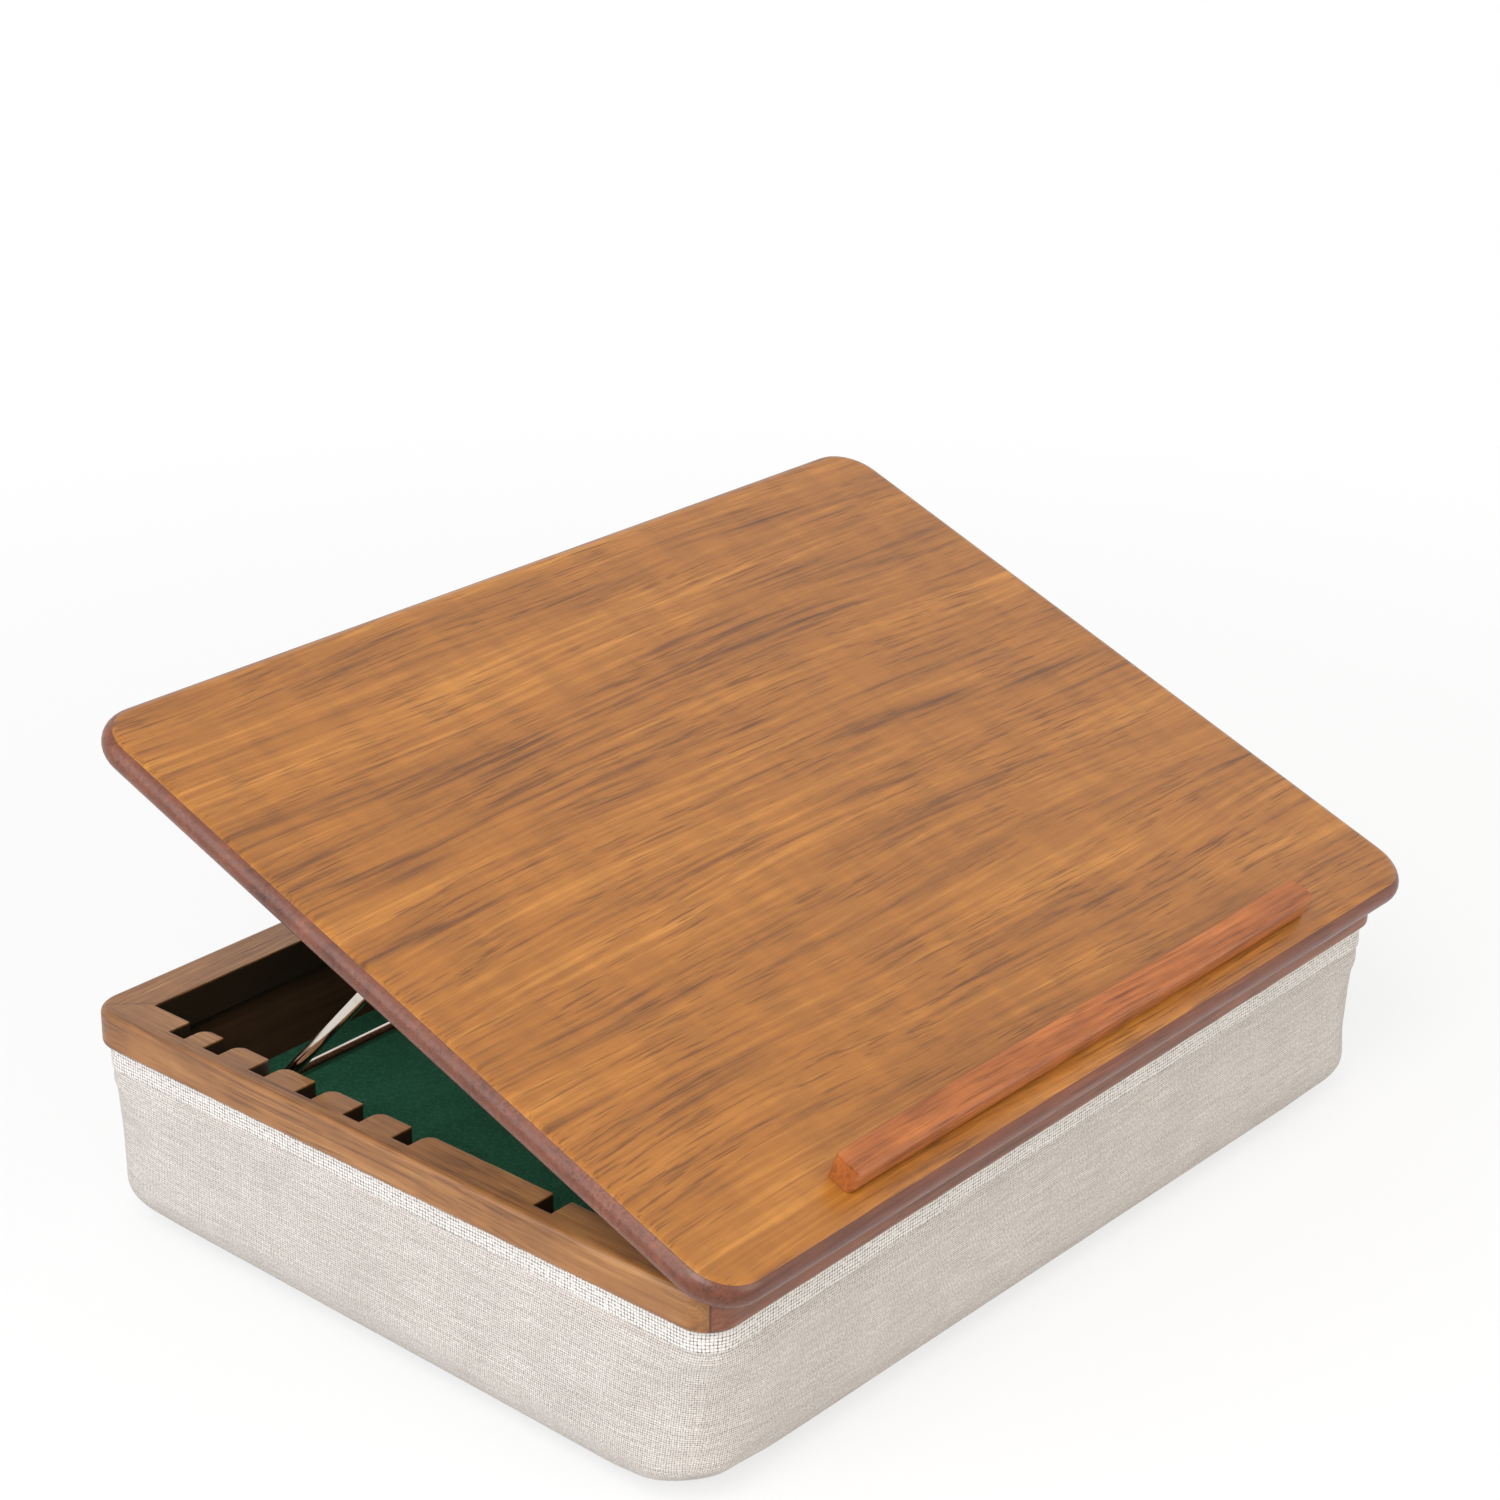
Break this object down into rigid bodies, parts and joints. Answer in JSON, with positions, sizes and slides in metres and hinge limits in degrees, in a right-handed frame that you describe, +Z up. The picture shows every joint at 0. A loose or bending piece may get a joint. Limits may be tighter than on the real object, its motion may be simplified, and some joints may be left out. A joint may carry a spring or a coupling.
{
  "type": "lap_desk_with_lift_lid",
  "caption": "Lap desk: a hardwood frame with a felt-lined compartment on a linen cushion, under a veneered lid that a wire stand props in notches.",
  "frame": {"origin": "middle of the flat underside of the cushion, on the surface that the desk stands on", "axes": "+X to the right along the hinge line, +Y to the rear away from the user, +Z up"},
  "size_m": [0.403, 0.2982, 0.1993],
  "materials": {
    "rail_wood": "open-grained hardwood, satin clear coat",
    "dowel_wood": "plain beech, unfinished",
    "wall_wood": "dark stained hardwood, satin",
    "panel_wood": "plywood, unfinished",
    "brad_steel": "bright drawn steel",
    "felt": "dense green felt, matt and slightly mottled",
    "filling": "soft bonded wadding",
    "cover_cloth": "heathered off-white linen weave",
    "bottom_cloth": "plain off-white linen weave",
    "binding_cloth": "coarser open weave, off-white",
    "lid_edge_wood": "reddish dark brown, satin clear coat",
    "veneer_wood": "golden brown veneer with darker streaks, satin clear coat",
    "backer_wood": "plain brown veneer, thin clear coat",
    "ledge_wood": "red-orange hardwood, satin clear coat",
    "screw_steel": "zinc-plated steel",
    "hinge_brass": "brass, lightly polished",
    "pin_brass": "brass rod, drawn finish",
    "wire_steel": "polished nickel-plated wire",
    "clip_steel": "nickel-plated strip"
  },
  "bodies": {
    "base": {"left_rail": "rail_wood", "right_rail": "rail_wood", "front_rail": "rail_wood", "rear_rail": "rail_wood", "rail_dowels": "dowel_wood", "left_wall": "wall_wood", "right_wall": "wall_wood", "front_wall": "wall_wood", "rear_wall": "wall_wood", "floor_panel": "panel_wood", "floor_brads": "brad_steel", "felt_lining": "felt", "cushion_fill": "filling", "cover_sides": "cover_cloth", "cover_bottom": "bottom_cloth", "cover_binding": "binding_cloth", "left_rail_leaf": "hinge_brass", "right_rail_leaf": "hinge_brass", "left_hinge_pin": "pin_brass", "right_hinge_pin": "pin_brass", "rail_leaf_screws": "hinge_brass"},
    "lid": {"lid_core": "lid_edge_wood", "lid_veneer": "veneer_wood", "lid_backer": "backer_wood", "ledge": "ledge_wood", "ledge_screws": "screw_steel", "left_lid_leaf": "hinge_brass", "right_lid_leaf": "hinge_brass", "lid_leaf_screws": "hinge_brass", "left_clip": "clip_steel", "right_clip": "clip_steel", "clip_screws": "screw_steel"},
    "stand": {"stand_wire": "wire_steel", "foot_rod": "wire_steel"}
  },
  "joints": [
    {"name": "lid_lift", "type": "hinge", "parent": "base", "child": "lid", "pos_m": [0, -0.1425, 0.0857], "axis": [1, 0, 0], "range_deg": [-21.02, 9.4]},
    {"name": "stand_fold", "type": "hinge", "parent": "lid", "child": "stand", "pos_m": [0, 0.00751, 0.14109], "axis": [-1, 0, 0], "range_deg": [-69.19, 30.96]}
  ],
  "couplings": [
    {"joint": "stand_fold", "follows": "lid_lift", "ratio": 3.2907}
  ]
}
